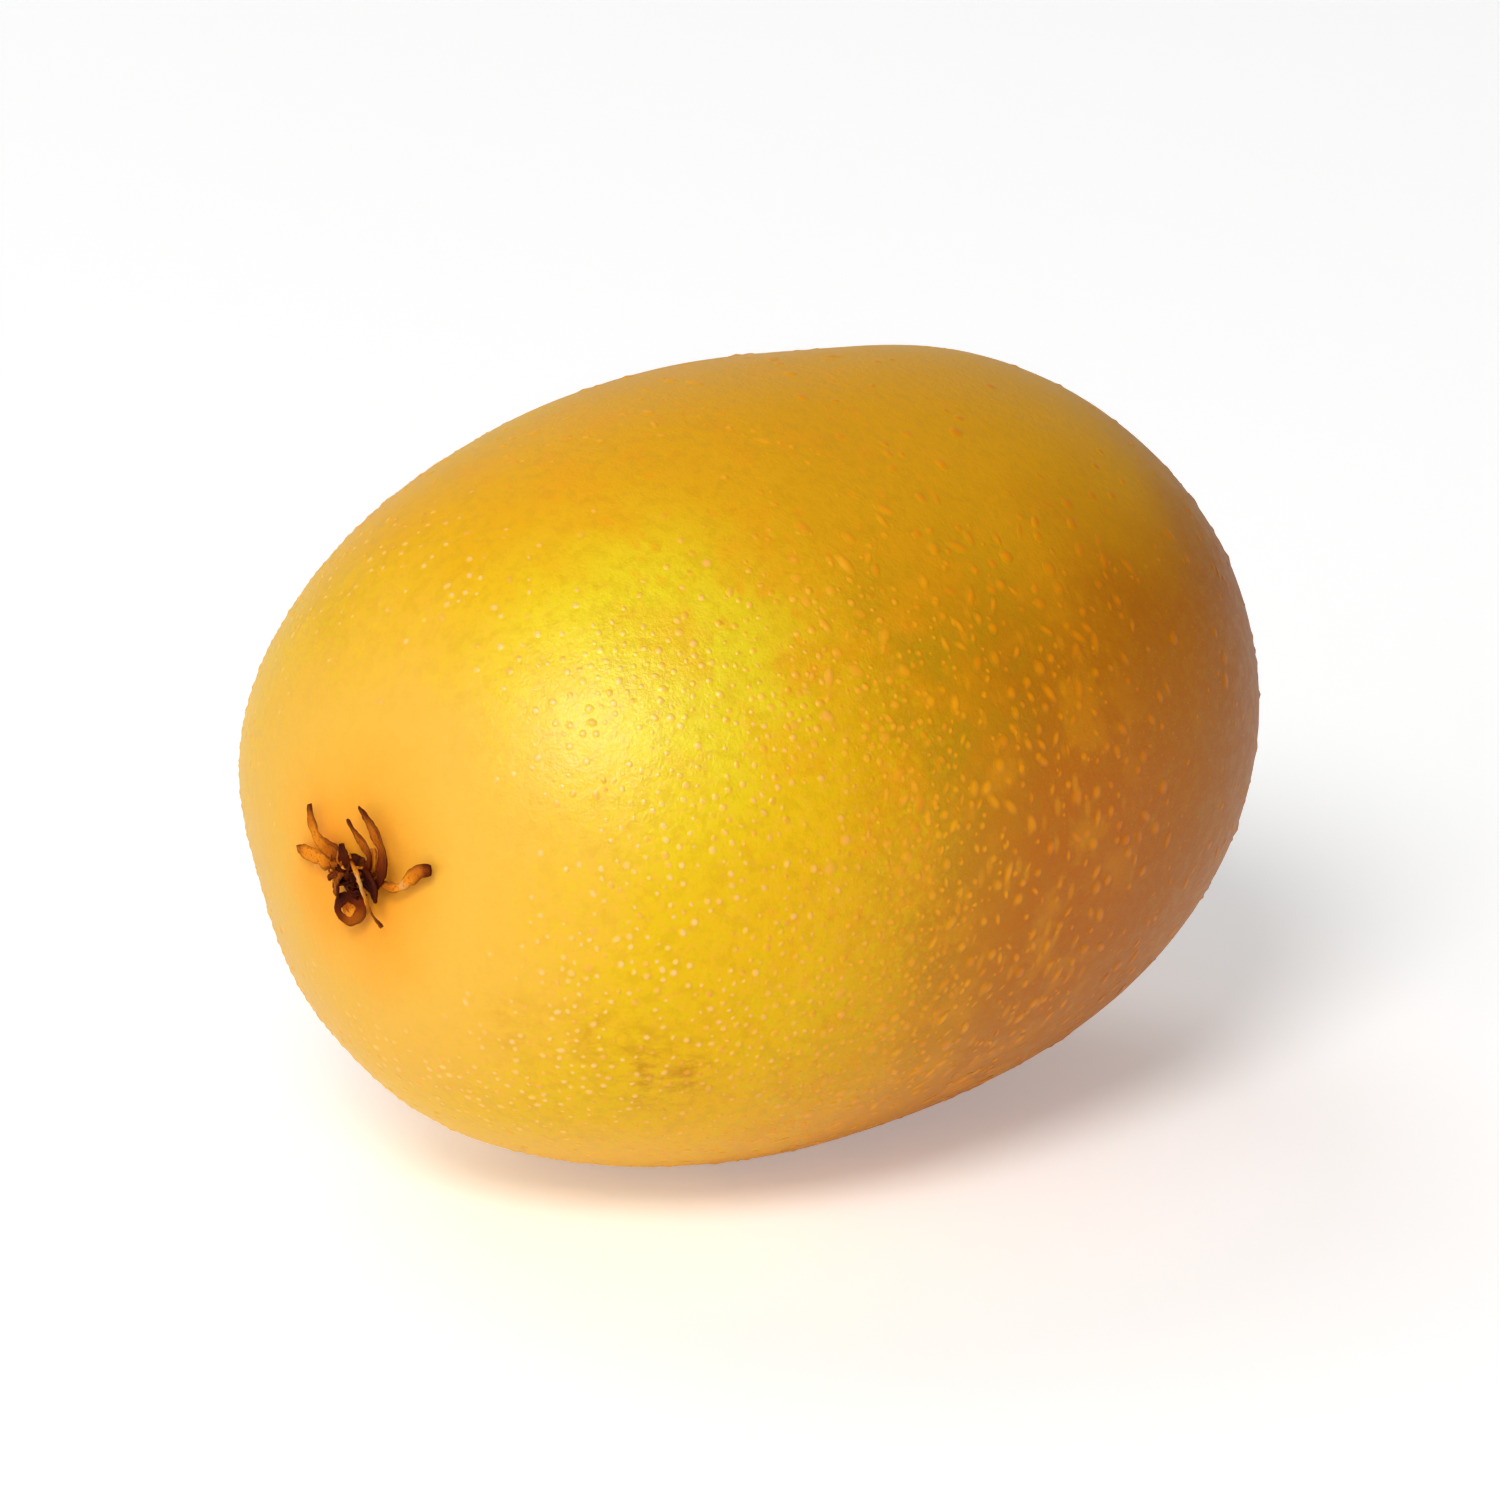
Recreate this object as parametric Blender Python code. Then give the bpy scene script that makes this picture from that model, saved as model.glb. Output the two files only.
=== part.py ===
"""A whole golden kiwi fruit that lies on its side, modelled in metres with +Z up.

The long axis runs along X. The blossom end, with its tuft of dried styles, points to -X and the
stem end, with its corky scar, points to +X. The fruit rests at z = 0 on a small flat spot.
"""

import math
import random

import bmesh
import bpy
from mathutils import Vector

# The fruit's driving sizes, from its widest section outwards
BLOSSOM_LENGTH = 0.0347
STEM_LENGTH = 0.0365
HALF_WIDTH = 0.0260
HEIGHT_TO_WIDTH = 0.956

# Bluntness of each end: radius = half width * (1 - u ** fall) ** (1 / roundness)
BLOSSOM_FALL = 2.25
BLOSSOM_ROUNDNESS = 2.39
STEM_FALL = 2.51
STEM_ROUNDNESS = 2.14

# How the section departs from a plain oval, as shares of its radius
THREE_SIDED = 0.005
THREE_SIDED_TURN = math.radians(-28)
LEAN = 0.0145
LEAN_TURN = math.radians(68)

# Swellings and hollows: bearing and height in degrees as seen from the middle, depth and spread
SWELLS = (
    (36, 66, -0.025, 0.23),
    (95, 59, 0.004, 0.27),
    (139, 11, 0.010, 0.31),
    (146, -11, -0.016, 0.21),
    (173, -44, 0.015, 0.26),
)

# The dip round the stem scar and the flat spot underneath
STEM_DIP_DEPTH = 0.0009
STEM_DIP_RADIUS = 0.0070
FLAT_SPOT_DEPTH = 0.0003

# Mesh density of the skin, and the distance below which vertices count as one
SECTIONS = 36
SECTION_SIDES = 56
MERGE_DISTANCE = 1e-6

# Lenticels, the raised corky dots of the skin
LENTICELS = 260
LENTICEL_SIZE = (0.0006, 0.0011)
LENTICEL_HEIGHT = (0.00014, 0.00024)
LENTICEL_SMALLEST_FACE = 0.0019
LENTICEL_CLEARANCE = 0.0015
LENTICEL_SEED = 11

# The tuft's pad and the stem scar sit in sockets, with this clearance round both
GAP = 0.0003
PAD_RADIUS = 0.0016
PAD_DEPTH = 0.0010
PAD_RISE = 0.0004
PAD_SIDES = 20
SCAR_RADIUS = 0.0029
SCAR_DEPTH = 0.0011
SCAR_RISE = 0.0007
SCAR_SIDES = 30

# Tops of both as shares of their rise and radius: a low dome, and a worn rim round a shallow pit
PAD_TOP = ((0.0, 1.0), (0.7, 0.8), (1.0, 0.4), (1.0, 0.0))
SCAR_TOP = ((0.4, 1.0), (1.0, 0.86), (1.0, 0.70), (0.3, 0.52), (0.15, 0.22), (0.4, 0.0))

# Dried styles in millimetres as one sees them from the front left: across, up and lift off the skin
VIEW_TURN = math.radians(46)
VIEW_RISE = math.radians(18)
STYLES = (
    ((-0.4, 0.2, 0.2), (-1.2, 1.0, 1.0), (-2.2, 1.8, 1.0), (-2.7, 2.7, 0.9), (-2.9, 4.3, 0.8)),
    ((-0.4, 0.0, 0.2), (-1.4, 0.7, 1.0), (-2.7, 1.3, 0.9), (-3.6, 1.8, 0.8)),
    ((0.3, 0.1, 0.2), (0.9, 1.0, 1.1), (0.8, 1.9, 1.3), (0.1, 2.7, 1.1), (-0.6, 3.5, 0.9)),
    (
        (0.4, -0.6, 0.2), (1.3, -0.2, 1.2), (1.6, 0.9, 1.4),
        (1.6, 1.9, 1.3), (1.0, 3.1, 1.0), (0.2, 4.0, 0.8),
    ),
    (
        (0.3, -0.3, 0.2), (1.2, -0.4, 1.1), (2.1, -0.4, 1.0),
        (3.2, -0.2, 0.9), (3.8, 0.5, 1.0), (4.4, 0.6, 0.8),
    ),
    ((0.2, -0.6, 0.2), (0.6, -1.5, 1.1), (1.1, -2.4, 0.9), (1.5, -3.0, 0.8)),
    ((-0.1, 0.2, 0.2), (-0.6, 1.0, 1.4), (-0.9, 2.1, 1.5)),
    ((-0.2, -0.4, 0.2), (-0.5, -0.8, 0.8), (-0.6, -1.3, 0.9)),
)
STYLE_THICKNESS = 0.00062
STYLE_TIP = 0.62
POINTS_PER_SPAN = 3
SETTLING_STEPS = 6

# One style is curled into a ring
CURL_MIDDLE = (-0.4, -1.9, 0.9)
CURL_RADIUS = 0.65
CURL_POINTS = 14
CURL_THICKNESS = 0.00070

# Short styles crowd over the pad: reach, lift and root in millimetres, bend as shares of the first two
SHORT_STYLES = 10
SHORT_STYLE_REACH = (1.1, 1.9)
SHORT_STYLE_LIFT = (0.9, 1.6)
SHORT_STYLE_ROOT = (0.35, 0.2)
SHORT_STYLE_BEND = (0.7, 0.8)
SHORT_STYLE_TWIST = 0.5
SHORT_STYLE_SCATTER = 0.25
SHORT_STYLE_SEED = 5
MM = 0.001

# Colours as linear red, green and blue, with roughness
SKIN_FINISH = ((0.78, 0.40, 0.022), 0.45)
STYLE_FINISH = ((0.115, 0.030, 0.008), 0.85)
SCAR_FINISH = ((0.165, 0.070, 0.022), 0.9)


def clear_scene():
    for thing in list(bpy.data.objects):
        bpy.data.objects.remove(thing, do_unlink=True)


def finish(name, colour_and_roughness):
    colour, roughness = colour_and_roughness
    material = bpy.data.materials.new(name)
    material.use_nodes = True
    shader = material.node_tree.nodes["Principled BSDF"]
    shader.inputs["Base Color"].default_value = (*colour, 1)
    shader.inputs["Roughness"].default_value = roughness
    shader.inputs["Metallic"].default_value = 0
    return material


def place(name, mesh, material):
    thing = bpy.data.objects.new(name, mesh)
    bpy.context.scene.collection.objects.link(thing)
    mesh.materials.append(material)
    mesh.shade_smooth()
    return thing


def mesh_from(bm, name):
    bmesh.ops.recalc_face_normals(bm, faces=bm.faces)
    mesh = bpy.data.meshes.new(name)
    bm.to_mesh(mesh)
    bm.free()
    return mesh


def direction(bearing, height):
    bearing, height = math.radians(bearing), math.radians(height)
    return Vector((
        math.cos(height) * math.cos(bearing),
        math.cos(height) * math.sin(bearing),
        math.sin(height),
    ))


def swelling(point):
    """The share by which the swellings and hollows move a point away from the middle."""
    length = (BLOSSOM_LENGTH + STEM_LENGTH) / 2
    seen = Vector((point.x / length, point.y / HALF_WIDTH, point.z / HALF_WIDTH)).normalized()
    return sum(
        amount * math.exp(-(seen - direction(bearing, height)).length_squared / spread ** 2)
        for bearing, height, amount, spread in SWELLS
    )


def skin_point(u, turn):
    """A point of the skin: u runs from -1 at the blossom end to 1 at the stem end, turn goes round."""
    blossom = u < 0
    fall = BLOSSOM_FALL if blossom else STEM_FALL
    roundness = BLOSSOM_ROUNDNESS if blossom else STEM_ROUNDNESS
    radius = HALF_WIDTH * max(0.0, 1 - abs(u) ** fall) ** (1 / roundness)
    radius /= math.hypot(math.cos(turn), math.sin(turn) / HEIGHT_TO_WIDTH)
    radius *= 1 + THREE_SIDED * math.cos(3 * turn - THREE_SIDED_TURN) * (1 - u * u)
    radius *= 1 + LEAN * u * math.cos(turn - LEAN_TURN)
    along = u * (BLOSSOM_LENGTH if blossom else STEM_LENGTH)
    if not blossom:
        along -= STEM_DIP_DEPTH * math.exp(-((radius / STEM_DIP_RADIUS) ** 2))
    point = Vector((along, radius * math.cos(turn), radius * math.sin(turn)))
    return point * (1 + swelling(point))


def u_at_radius(radius, fall, roundness):
    return (1 - (radius / HALF_WIDTH) ** roundness) ** (1 / fall)


def turns(sides):
    return [2 * math.pi * k / sides for k in range(sides)]


def bridge(bm, first, second):
    """Quads between two rings of as many vertices."""
    count = len(first)
    return [
        bm.faces.new((first[k], first[(k + 1) % count], second[(k + 1) % count], second[k]))
        for k in range(count)
    ]


def cap(bm, ring, centre):
    middle = bm.verts.new(centre)
    for k, corner in enumerate(ring):
        bm.faces.new((corner, ring[(k + 1) % len(ring)], middle))


def socket(bm, ring, floor):
    """A straight-walled socket from a ring of the skin down to a flat floor at x = floor."""
    bottom = [bm.verts.new((floor, corner.co.y, corner.co.z)) for corner in ring]
    bridge(bm, ring, bottom)
    cap(bm, bottom, (floor, 0, 0))


def cut_flat_spot(bm, level):
    """Cuts the skin off below the level and closes it with one flat face."""
    everything = bm.verts[:] + bm.edges[:] + bm.faces[:]
    done = bmesh.ops.bisect_plane(
        bm,
        geom=everything,
        dist=MERGE_DISTANCE,
        plane_co=(0, 0, level),
        plane_no=(0, 0, -1),
        clear_outer=True,
    )
    rim = [part for part in done["geom_cut"] if isinstance(part, bmesh.types.BMEdge)]
    bmesh.ops.edgeloop_fill(bm, edges=rim)


def raise_lenticels(bm, skin_faces, lowest):
    """Turns some faces of the skin into low pointed dots."""
    draw = random.Random(LENTICEL_SEED)
    fit = [
        face for face in skin_faces
        if face.is_valid and len(face.verts) == 4
        and min(edge.calc_length() for edge in face.edges) > LENTICEL_SMALLEST_FACE
        and min(corner.co.z for corner in face.verts) > lowest
    ]
    for face in draw.sample(fit, LENTICELS):
        width = min(edge.calc_length() for edge in face.edges)
        size = draw.uniform(*LENTICEL_SIZE)
        bmesh.ops.inset_individual(bm, faces=[face], thickness=(width - size) / 2)
        bmesh.ops.poke(bm, faces=[face], offset=draw.uniform(*LENTICEL_HEIGHT))


def build_body():
    bm = bmesh.new()
    blossom_u = u_at_radius(PAD_RADIUS + GAP, BLOSSOM_FALL, BLOSSOM_ROUNDNESS)
    stem_u = u_at_radius(SCAR_RADIUS + GAP, STEM_FALL, STEM_ROUNDNESS)
    start, end = math.acos(blossom_u), math.pi - math.acos(stem_u)
    rings = [
        [
            bm.verts.new(skin_point(-math.cos(start + (end - start) * k / SECTIONS), turn))
            for turn in turns(SECTION_SIDES)
        ]
        for k in range(SECTIONS + 1)
    ]
    skin_faces = []
    for near, far in zip(rings, rings[1:]):
        skin_faces += bridge(bm, near, far)
    socket(bm, rings[0], -BLOSSOM_LENGTH + PAD_DEPTH + GAP)
    socket(bm, rings[-1], STEM_LENGTH - STEM_DIP_DEPTH - SCAR_DEPTH - GAP)
    bmesh.ops.recalc_face_normals(bm, faces=bm.faces)
    level = min(corner.co.z for corner in bm.verts) + FLAT_SPOT_DEPTH
    cut_flat_spot(bm, level)
    raise_lenticels(bm, skin_faces, level + LENTICEL_CLEARANCE)
    return mesh_from(bm, "fruit_body")


def button_profile(skin, radius, depth, rise, top):
    """Heights and radii of a round button that sits depth deep in the skin."""
    foot = [(skin - depth, 0), (skin - depth, radius)]
    return foot + [(skin + height * rise, width * radius) for height, width in top]


def turned(name, profile, sides, facing):
    """A closed solid turned about X from (height, radius) pairs, with height along facing * X."""
    bm = bmesh.new()
    rings = [
        [
            bm.verts.new((facing * height, radius * math.cos(turn), radius * math.sin(turn)))
            for turn in turns(sides)
        ]
        for height, radius in profile[1:-1]
    ]
    for near, far in zip(rings, rings[1:]):
        bridge(bm, near, far)
    cap(bm, rings[0], (facing * profile[0][0], 0, 0))
    cap(bm, rings[-1], (facing * profile[-1][0], 0, 0))
    return mesh_from(bm, name)


def smooth_route(points):
    """A curve through the points, with a few steps in each span."""
    ends = [points[0] * 2 - points[1], *points, points[-1] * 2 - points[-2]]
    route = []
    for before, first, second, after in zip(ends, ends[1:], ends[2:], ends[3:]):
        for step in range(POINTS_PER_SPAN):
            t = step / POINTS_PER_SPAN
            route.append(0.5 * (
                2 * first
                + (second - before) * t
                + (2 * before - 5 * first + 4 * second - after) * t ** 2
                + (3 * first - before - 3 * second + after) * t ** 3
            ))
    return route + [points[-1]]


def above_end(right, up, lift):
    """A point over the blossom end, from millimetres seen by one who faces the tuft."""
    u = u_at_radius(math.hypot(right, up) * MM, BLOSSOM_FALL, BLOSSOM_ROUNDNESS)
    return Vector((-u * BLOSSOM_LENGTH - lift * MM, -right * MM, up * MM))


def as_seen(across, rise, lift):
    """The point over the blossom end that shows at across and rise from the front left."""
    proud = lift
    for _ in range(SETTLING_STEPS):
        right = (across + math.cos(VIEW_TURN) * proud) / math.sin(VIEW_TURN)
        nearer = math.sin(VIEW_TURN) * proud + math.cos(VIEW_TURN) * right
        up = (rise + math.sin(VIEW_RISE) * nearer) / math.cos(VIEW_RISE)
        point = above_end(right, up, lift)
        proud = -(point.x + BLOSSOM_LENGTH) / MM
    return point


def strand(name, route, thickness, closed=False):
    """A round strand along a route, thinner towards its tip."""
    curve = bpy.data.curves.new(name, "CURVE")
    curve.dimensions = "3D"
    curve.bevel_depth = thickness / 2
    curve.bevel_resolution = 1
    curve.use_fill_caps = not closed
    spline = curve.splines.new("POLY")
    spline.use_cyclic_u = closed
    spline.points.add(len(route) - 1)
    for k, (spot, point) in enumerate(zip(spline.points, route)):
        spot.co = (*point, 1)
        spot.radius = 1 if closed else 1 - (1 - STYLE_TIP) * k / (len(route) - 1)
    guide = bpy.data.objects.new(name, curve)
    bm = bmesh.new()
    bm.from_mesh(bpy.data.meshes.new_from_object(guide))
    bpy.data.objects.remove(guide)
    bmesh.ops.remove_doubles(bm, verts=bm.verts, dist=MERGE_DISTANCE)
    return mesh_from(bm, name)


def long_styles():
    return [
        strand(f"style_{k}", smooth_route([as_seen(*spot) for spot in route]), STYLE_THICKNESS)
        for k, route in enumerate(STYLES)
    ]


def curled_style():
    across, rise, lift = CURL_MIDDLE
    ring = [
        as_seen(across + CURL_RADIUS * math.cos(turn), rise + CURL_RADIUS * math.sin(turn), lift)
        for turn in turns(CURL_POINTS)
    ]
    return strand("curled_style", ring, CURL_THICKNESS, closed=True)


def short_styles():
    """Short styles that spread all round from the pad and twist as they rise."""
    draw = random.Random(SHORT_STYLE_SEED)
    root, root_lift = SHORT_STYLE_ROOT
    bend, bend_lift = SHORT_STYLE_BEND
    meshes = []
    for k, turn in enumerate(turns(SHORT_STYLES)):
        turn += draw.uniform(-SHORT_STYLE_SCATTER, SHORT_STYLE_SCATTER)
        reach = draw.uniform(*SHORT_STYLE_REACH)
        lift = draw.uniform(*SHORT_STYLE_LIFT)
        spots = (
            (turn, root, root_lift),
            (turn, bend * reach, bend_lift * lift),
            (turn + SHORT_STYLE_TWIST, reach, lift),
        )
        route = [
            above_end(out * math.cos(angle), out * math.sin(angle), high)
            for angle, out, high in spots
        ]
        meshes.append(strand(f"short_style_{k}", smooth_route(route), STYLE_THICKNESS))
    return meshes


def build_tuft(material):
    """The pad in its socket with every style fused to it."""
    profile = button_profile(BLOSSOM_LENGTH, PAD_RADIUS, PAD_DEPTH, PAD_RISE, PAD_TOP)
    tuft = place("dried_style_tuft", turned("dried_style_tuft", profile, PAD_SIDES, -1), material)
    styles = bpy.data.collections.new("styles")
    bpy.context.scene.collection.children.link(styles)
    for mesh in [*long_styles(), curled_style(), *short_styles()]:
        styles.objects.link(bpy.data.objects.new(mesh.name, mesh))
    union = tuft.modifiers.new("styles", "BOOLEAN")
    union.operation = "UNION"
    union.operand_type = "COLLECTION"
    union.collection = styles
    graph = bpy.context.evaluated_depsgraph_get()
    joined = bpy.data.meshes.new_from_object(tuft.evaluated_get(graph))
    tuft.modifiers.remove(union)
    tuft.data = joined
    joined.name = "dried_style_tuft"
    joined.shade_smooth()
    for thing in list(styles.objects):
        bpy.data.objects.remove(thing)
    bpy.data.collections.remove(styles)
    return tuft


def build_scar():
    """The corky button where the stalk broke off."""
    skin = STEM_LENGTH - STEM_DIP_DEPTH
    profile = button_profile(skin, SCAR_RADIUS, SCAR_DEPTH, SCAR_RISE, SCAR_TOP)
    return turned("stem_scar", profile, SCAR_SIDES, 1)


def settle(things):
    """Moves everything so that the whole fruit's base is centred on the origin."""
    corners = [corner.co for thing in things for corner in thing.data.vertices]
    low = [min(corner[k] for corner in corners) for k in range(3)]
    high = [max(corner[k] for corner in corners) for k in range(3)]
    for thing in things:
        thing.location = (-(low[0] + high[0]) / 2, -(low[1] + high[1]) / 2, -low[2])


clear_scene()
body = place("fruit_body", build_body(), finish("golden_skin", SKIN_FINISH))
tuft = build_tuft(finish("dried_style", STYLE_FINISH))
scar = place("stem_scar", build_scar(), finish("stem_cork", SCAR_FINISH))
settle([body, tuft, scar])
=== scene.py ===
import math
import random
from functools import partial

import bmesh
import bpy
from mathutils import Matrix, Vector, noise


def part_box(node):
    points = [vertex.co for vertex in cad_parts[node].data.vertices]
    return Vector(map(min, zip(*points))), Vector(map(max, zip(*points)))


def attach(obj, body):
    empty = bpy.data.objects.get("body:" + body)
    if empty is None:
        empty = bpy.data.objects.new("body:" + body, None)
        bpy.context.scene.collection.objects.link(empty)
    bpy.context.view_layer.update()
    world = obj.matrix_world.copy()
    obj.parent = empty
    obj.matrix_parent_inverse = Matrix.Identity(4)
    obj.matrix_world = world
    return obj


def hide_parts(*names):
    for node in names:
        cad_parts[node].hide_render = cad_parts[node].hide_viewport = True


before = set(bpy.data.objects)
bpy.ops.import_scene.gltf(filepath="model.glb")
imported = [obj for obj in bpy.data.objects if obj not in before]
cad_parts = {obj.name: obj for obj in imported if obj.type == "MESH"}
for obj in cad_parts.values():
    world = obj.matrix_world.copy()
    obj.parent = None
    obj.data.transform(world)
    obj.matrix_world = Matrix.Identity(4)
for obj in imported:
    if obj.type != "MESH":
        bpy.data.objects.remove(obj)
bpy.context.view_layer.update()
mm = 0.001
collection = bpy.context.scene.collection


# Short hands for node trees

def plug(tree, socket, value):
    if isinstance(value, bpy.types.NodeSocket):
        tree.links.new(value, socket)
    elif socket.type == "RGBA" and len(value) == 3:
        socket.default_value = (*value, 1)
    else:
        socket.default_value = value


def addNode(tree, kind, inputs=None, **settings):
    made = tree.nodes.new(kind)
    for name, value in settings.items():
        setattr(made, name, value)
    for name, value in (inputs or {}).items():
        plug(tree, made.inputs[name], value)
    return made


def maths(tree, operation, *values):
    made = addNode(tree, "ShaderNodeMath", operation=operation)
    for socket, value in zip(made.inputs, values):
        plug(tree, socket, value)
    return made.outputs[0]


def vectors(tree, operation, first, second=None):
    made = addNode(tree, "ShaderNodeVectorMath", {0: first}, operation=operation)
    if second is not None:
        plug(tree, made.inputs["Scale" if operation == "SCALE" else 1], second)
    return made.outputs["Value" if operation in ("LENGTH", "DISTANCE", "DOT_PRODUCT") else "Vector"]


def fade(tree, value, start, end, low=0.0, high=1.0):
    span = {"Value": value, "From Min": start, "From Max": end, "To Min": low, "To Max": high}
    return addNode(tree, "ShaderNodeMapRange", span, interpolation_type="SMOOTHSTEP").outputs["Result"]


def mixColour(tree, amount, first, second, blend="MIX"):
    made = addNode(tree, "ShaderNodeMix", data_type="RGBA", blend_type=blend)
    sockets = {socket.identifier: socket for socket in made.inputs}
    plug(tree, sockets["Factor_Float"], amount)
    plug(tree, sockets["A_Color"], first)
    plug(tree, sockets["B_Color"], second)
    return next(socket for socket in made.outputs if socket.identifier == "Result_Color")


# A colour that runs through stops, each given as its value and its colour
def ramp(tree, value, stops):
    low, high = stops[0][0], stops[-1][0]
    span = {"Value": value, "From Min": low, "From Max": high}
    share = addNode(tree, "ShaderNodeMapRange", span).outputs["Result"]
    made = addNode(tree, "ShaderNodeValToRGB", {"Fac": share})
    made.color_ramp.interpolation = "EASE"
    elements = made.color_ramp.elements
    for stop, _ in stops[1:-1]:
        elements.new((stop - low) / (high - low))
    for element, (_, colour) in zip(elements, stops):
        element.color = (*colour, 1)
    return made.outputs["Color"]


def grain(tree, place, scale, detail=2.0, roughness=0.5, distortion=0.0):
    values = {
        "Vector": place, "Scale": scale, "Detail": detail,
        "Roughness": roughness, "Distortion": distortion,
    }
    return addNode(tree, "ShaderNodeTexNoise", values).outputs["Fac"]


def split(tree, vector):
    return addNode(tree, "ShaderNodeSeparateXYZ", {"Vector": vector}).outputs


def join(tree, x, y, z):
    return addNode(tree, "ShaderNodeCombineXYZ", {"X": x, "Y": y, "Z": z}).outputs["Vector"]


# A geometry tree with one named input for each value given
socketKinds = {int: "Int", float: "Float", Vector: "Vector", bpy.types.Material: "Material"}


def geometryTree(name, values):
    tree = bpy.data.node_groups.new(name, "GeometryNodeTree")
    tree.interface.new_socket("Geometry", in_out="OUTPUT", socket_type="NodeSocketGeometry")
    tree.interface.new_socket("Geometry", in_out="INPUT", socket_type="NodeSocketGeometry")
    for label, value in values.items():
        kind = "NodeSocket" + socketKinds[type(value)]
        tree.interface.new_socket(label, in_out="INPUT", socket_type=kind)
    return tree, tree.nodes.new("NodeGroupInput").outputs


# Ends a tree: nothing instanced, and the material on
def finishTree(tree, geometry, material):
    real = addNode(tree, "GeometryNodeRealizeInstances", {"Geometry": geometry})
    painted = addNode(tree, "GeometryNodeSetMaterial", {
        "Geometry": real.outputs[0], "Material": material,
    })
    addNode(tree, "NodeGroupOutput", {"Geometry": painted.outputs[0]})


# Runs a tree on a mesh and keeps the result as a plain mesh at the origin
def grow(name, tree, values, mesh=None):
    piece = bpy.data.objects.new(name, mesh or bpy.data.meshes.new(name))
    collection.objects.link(piece)
    modifier = piece.modifiers.new(name, "NODES")
    modifier.node_group = tree
    for socket in tree.interface.items_tree:
        if socket.in_out == "INPUT" and socket.name in values:
            modifier[socket.identifier] = values[socket.name]
    graph = bpy.context.evaluated_depsgraph_get()
    result = bpy.data.meshes.new_from_object(piece.evaluated_get(graph))
    piece.modifiers.remove(modifier)
    piece.data = result
    result.name = name
    return piece


def keepAsPiece(piece, node):
    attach(piece, "root")
    if node:
        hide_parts(node)
    print(piece.name, len(piece.data.polygons), "faces")


# The fruit's sizes in metres and radians, along X from its widest section
fruitShape = {
    "panels": 127,
    "blossomLength": 34.7 * mm,
    "stemLength": 36.5 * mm,
    "halfWidth": 26.0 * mm,
    "heightToWidth": 0.956,
    "blossomFall": 2.25,
    "blossomRoundness": 2.39,
    "stemFall": 2.51,
    "stemRoundness": 2.14,
    "threeSided": 0.005,
    "threeSidedTurn": math.radians(-28),
    "lean": 0.0145,
    "leanTurn": math.radians(68),
    "stemDipDepth": 0.9 * mm,
    "stemDipRadius": 7.0 * mm,
    "undulation": 0.10 * mm,
    "undulationSize": 9.0 * mm,
    "pebbling": 0.022 * mm,
    "pebbleSize": 1.5 * mm,
}

# Swellings and hollows: bearing and height in degrees from the middle, depth and spread as shares
swells = (
    (36, 66, -0.025, 0.23),
    (95, 59, 0.004, 0.27),
    (139, 11, 0.010, 0.31),
    (146, -11, -0.016, 0.21),
    (173, -44, 0.015, 0.26),
)
scarRise = 0.7 * mm

# The widest section's middle, found from the scar, which is turned round the long axis
scarLow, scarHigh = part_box("stem_scar")
middle = Vector((
    scarHigh.x - fruitShape["stemLength"] + fruitShape["stemDipDepth"] - scarRise,
    (scarLow.y + scarHigh.y) / 2,
    (scarLow.z + scarHigh.z) / 2,
))
blossomEnd = middle - Vector((fruitShape["blossomLength"], 0, 0))
stemEnd = middle + Vector((fruitShape["stemLength"] - fruitShape["stemDipDepth"], 0, 0))
print("middle of the fruit", [round(value / mm, 2) for value in middle])


# Camera

photoView = {"turn": 46.05, "rise": 17.93, "distance": 0.620, "lens": 234.0}


def makeCamera():
    turn, rise = math.radians(photoView["turn"]), math.radians(photoView["rise"])
    back = Vector((-math.sin(turn) * math.cos(rise), -math.cos(turn) * math.cos(rise), math.sin(rise)))
    camera = bpy.data.objects.new("camera", bpy.data.cameras.new("camera"))
    camera.data.lens = photoView["lens"]
    camera.data.clip_start = 0.01
    camera.location = middle + back * photoView["distance"]
    camera.rotation_euler = back.to_track_quat("Z", "Y").to_euler()
    collection.objects.link(camera)
    bpy.context.scene.camera = camera


makeCamera()


# Finishes

# Skin colours, linear. The stops run along X; places and reaches are millimetres from the middle
skinLook = {
    # Towards the stem end the stops are partly the fruit's own bronze and partly painted shade
    "stops": (
        (-36, (0.84, 0.45, 0.020)), (-27, (0.83, 0.50, 0.002)), (-19, (0.88, 0.475, 0.0)),
        (-13, (0.82, 0.39, 0.0)), (-7, (0.69, 0.28, 0.0)), (1, (0.57, 0.19, 0.0)),
        (13, (0.51, 0.152, 0.0)), (36, (0.47, 0.135, 0.0)),
    ),
    "honey": (0.81, 0.385, 0.001),
    "lemonAndHighlight": (0.85, 0.665, 0.006),
    "oliveAndShade": (0.53, 0.29, 0.001),
    "amber": (0.88, 0.34, 0.002),
    "peach": (0.84, 0.46, 0.055),
    "tangerine": (0.96, 0.33, 0.012),
    "scuff": (0.58, 0.24, 0.002),
    # Painted sheen at the silhouette: its colour and its largest share
    "paintedSheen": (0.90, 0.55, 0.14),
    "paintedSheenShare": 0.42,
    "russetAndShadow": (0.58, 0.130, 0.0),
    "pink": (0.95, 0.44, 0.05),
    "lime": (0.80, 0.56, 0.0),
    "shade": (0.58, 0.27, 0.002),
    "sand": (0.84, 0.34, 0.01),
}
tuftSpot = (-34.7, 0.0, 0.0)
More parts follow.
